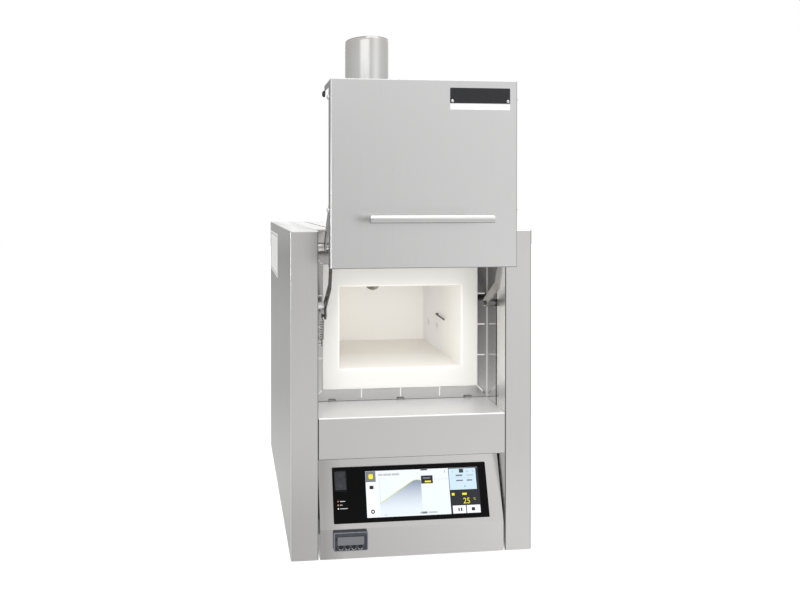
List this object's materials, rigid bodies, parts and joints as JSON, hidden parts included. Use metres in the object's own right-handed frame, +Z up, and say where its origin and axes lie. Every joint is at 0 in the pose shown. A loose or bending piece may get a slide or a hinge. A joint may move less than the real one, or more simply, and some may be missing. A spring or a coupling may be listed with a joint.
{
  "type": "preheating furnace",
  "caption": "Bench-top preheating furnace with a fibre-lined chamber, a parallel-lift door on levers, an inclined touch panel and a tall chimney pipe.",
  "frame": {"origin": "on the floor, under the middle of the bounding box with the door raised", "axes": "+Z up, the height being the longest extent; +Y from the door side to the back; +X to the viewer's right when facing the door"},
  "size_m": [0.385, 0.512, 0.8885],
  "materials": {
    "brushed_sheet": "brushed stainless sheet, satin, grain along the longer side",
    "polished_sheet": "bright stainless sheet, nearly mirror",
    "polished_steel": "turned and polished steel",
    "brushed_bar": "flat steel bar, brushed",
    "zinc_plated_steel": "zinc plated, dull",
    "ceramic_fibre": "pressed ceramic fibre, warm white, matt and slightly rough",
    "fired_ceramic": "fired, unglazed",
    "heat_resisting_steel": "sheath darkened by heat",
    "spring_steel": "drawn wire, oiled",
    "black_panel": "glossy black front panel",
    "screen": "lit colour screen under a smooth cover",
    "dark_plastic": "moulded, satin",
    "slate_plastic": "moulded, satin blue-grey",
    "smoked_window": "smoked, smooth",
    "light_guide": "clear light guide",
    "foot_rubber": "moulded, matt"
  },
  "bodies": {
    "casing": {"base_tray": "zinc_plated_steel", "side_cover_left": "brushed_sheet", "side_cover_right": "brushed_sheet", "top_cover": "brushed_sheet", "rear_cover": "brushed_sheet", "power_inlet": "dark_plastic", "recess_frame": "polished_sheet", "front_cover": "brushed_sheet", "chamber_collar": "ceramic_fibre", "collar_backing": "ceramic_fibre", "insulation_floor": "ceramic_fibre", "insulation_roof": "ceramic_fibre", "insulation_left": "ceramic_fibre", "insulation_right": "ceramic_fibre", "insulation_rear": "ceramic_fibre", "heating_plate_left": "fired_ceramic", "heating_plate_right": "fired_ceramic", "chamber_floor_plate": "fired_ceramic", "thermocouple": "heat_resisting_steel", "furnace_cradle": "zinc_plated_steel", "exhaust_tube": "polished_steel", "chimney_flange": "brushed_sheet", "chimney_pipe": "brushed_sheet", "control_housing": "brushed_sheet", "panel_glass": "black_panel", "touch_screen": "screen", "controller_box": "dark_plastic", "light_guide": "light_guide", "switch_body": "dark_plastic", "limiter_body": "slate_plastic", "limiter_window": "smoked_window", "solid_state_relay": "dark_plastic", "terminal_block": "dark_plastic", "foot_front_left": "foot_rubber", "foot_front_right": "foot_rubber", "foot_rear_left": "foot_rubber", "foot_rear_right": "foot_rubber", "pivot_lower_left": "polished_steel", "pivot_lower_right": "polished_steel", "pivot_upper_left": "polished_steel", "pivot_upper_right": "polished_steel", "spring_anchor": "polished_steel", "lift_spring": "spring_steel"},
    "lever_left": {"lever_left": "brushed_bar"},
    "lever_right": {"lever_right": "brushed_bar"},
    "link_left": {"link_left": "brushed_bar"},
    "link_right": {"link_right": "brushed_bar"},
    "door": {"door_shell": "brushed_sheet", "door_insulation": "ceramic_fibre", "door_retainer": "zinc_plated_steel", "door_handle": "polished_steel", "door_bracket_left": "zinc_plated_steel", "door_bracket_right": "zinc_plated_steel"},
    "switch_rocker": {"switch_rocker": "dark_plastic"},
    "limiter_key_1": {"limiter_key_1": "dark_plastic"},
    "limiter_key_2": {"limiter_key_2": "dark_plastic"},
    "limiter_key_3": {"limiter_key_3": "dark_plastic"},
    "limiter_key_4": {"limiter_key_4": "dark_plastic"}
  },
  "joints": [
    {"name": "door_lift", "type": "hinge", "parent": "casing", "child": "lever_left", "pos_m": [-0.133, -0.128, 0.3895], "axis": [1, 0, 0], "range_deg": [0, 134.9], "deforming": ["lift_spring"]},
    {"name": "door_level", "type": "hinge", "parent": "lever_left", "child": "door", "pos_m": [-0.133, -0.20368, 0.49581], "axis": [1, 0, 0], "range_deg": [-134.95, 0.05]},
    {"name": "lever_right_pivot", "type": "hinge", "parent": "casing", "child": "lever_right", "pos_m": [0.133, -0.128, 0.3895], "axis": [1, 0, 0], "range_deg": [-0.05, 134.95]},
    {"name": "link_left_pivot", "type": "hinge", "parent": "casing", "child": "link_left", "pos_m": [-0.133, -0.128, 0.4825], "axis": [1, 0, 0], "range_deg": [-0.05, 134.95]},
    {"name": "link_right_pivot", "type": "hinge", "parent": "casing", "child": "link_right", "pos_m": [0.133, -0.128, 0.4825], "axis": [1, 0, 0], "range_deg": [-0.05, 134.95]},
    {"name": "switch_rocker_tilt", "type": "hinge", "parent": "casing", "child": "switch_rocker", "pos_m": [-0.1125, -0.14543, 0.11544], "axis": [1, 0, 0], "range_deg": [0, 14]},
    {"name": "limiter_key_1_press", "type": "slide", "parent": "casing", "child": "limiter_key_1", "axis": [0, 1, 0], "range_m": [0, 0.0008], "stiffness_N_per_m": 400},
    {"name": "limiter_key_2_press", "type": "slide", "parent": "casing", "child": "limiter_key_2", "axis": [0, 1, 0], "range_m": [0, 0.0008], "stiffness_N_per_m": 400},
    {"name": "limiter_key_3_press", "type": "slide", "parent": "casing", "child": "limiter_key_3", "axis": [0, 1, 0], "range_m": [0, 0.0008], "stiffness_N_per_m": 400},
    {"name": "limiter_key_4_press", "type": "slide", "parent": "casing", "child": "limiter_key_4", "axis": [0, 1, 0], "range_m": [0, 0.0008], "stiffness_N_per_m": 400}
  ],
  "couplings": [
    {"joint": "door_level", "follows": "door_lift", "ratio": -1},
    {"joint": "lever_right_pivot", "follows": "door_lift", "ratio": 1},
    {"joint": "link_left_pivot", "follows": "door_lift", "ratio": 1},
    {"joint": "link_right_pivot", "follows": "door_lift", "ratio": 1}
  ]
}
